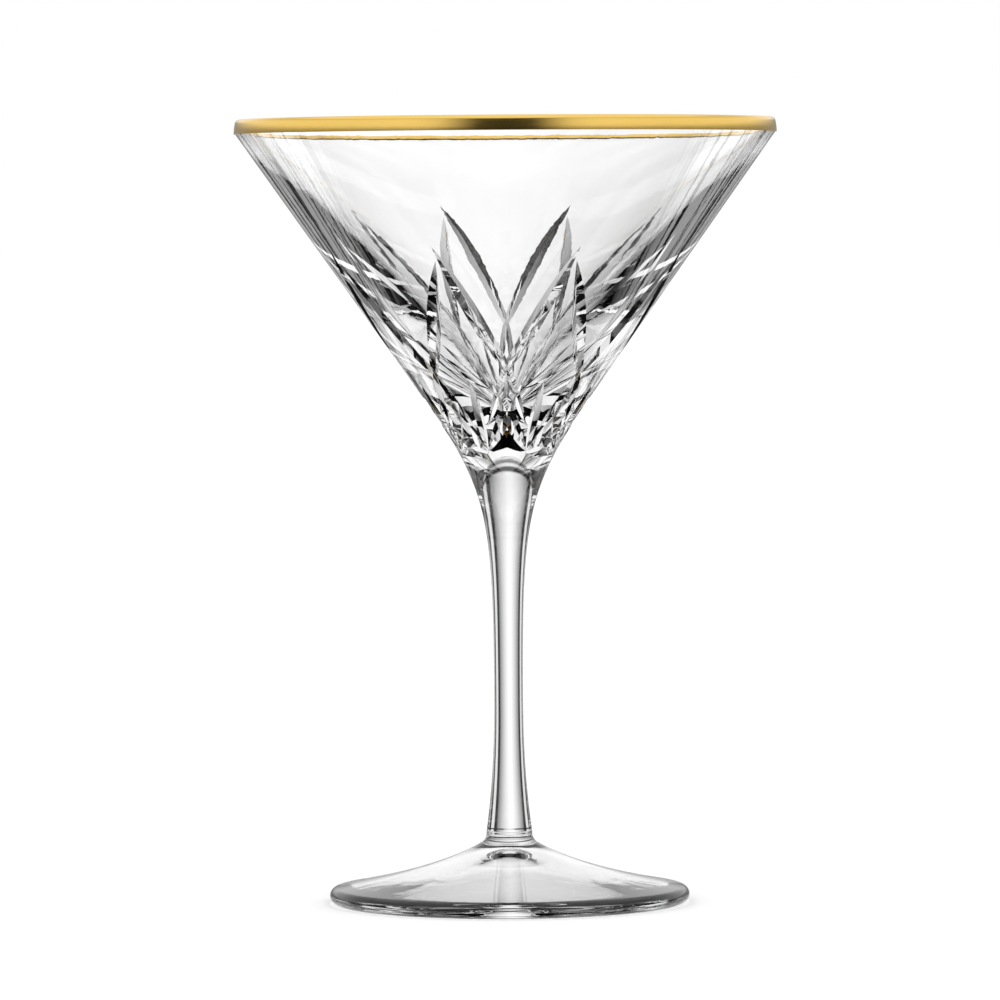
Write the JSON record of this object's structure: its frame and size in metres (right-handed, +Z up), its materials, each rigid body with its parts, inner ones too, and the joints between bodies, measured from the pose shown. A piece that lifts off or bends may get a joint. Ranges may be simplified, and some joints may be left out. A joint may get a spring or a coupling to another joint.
{
  "type": "martini glass",
  "caption": "Stemmed martini glass: a conical crystal bowl with crossing mitre cuts and a gilt rim, on a drawn stem and a round foot.",
  "frame": {"origin": "centre of the plane that the foot stands on", "axes": "+Z up along the stem; the front (-Y) faces the crossing of one pair of long cuts"},
  "size_m": [0.117, 0.117, 0.1695],
  "materials": {
    "crystal_bowl": "polished clear crystal with mitre cuts",
    "crystal_stem": "fire-polished clear crystal",
    "crystal_collar": "fire-polished clear crystal",
    "crystal_foot": "fire-polished clear crystal",
    "gilding": "bright fired gold"
  },
  "bodies": {
    "root": {"bowl": "crystal_bowl", "stem": "crystal_stem", "joint_collar": "crystal_collar", "foot": "crystal_foot", "rim_band": "gilding"}
  },
  "joints": []
}
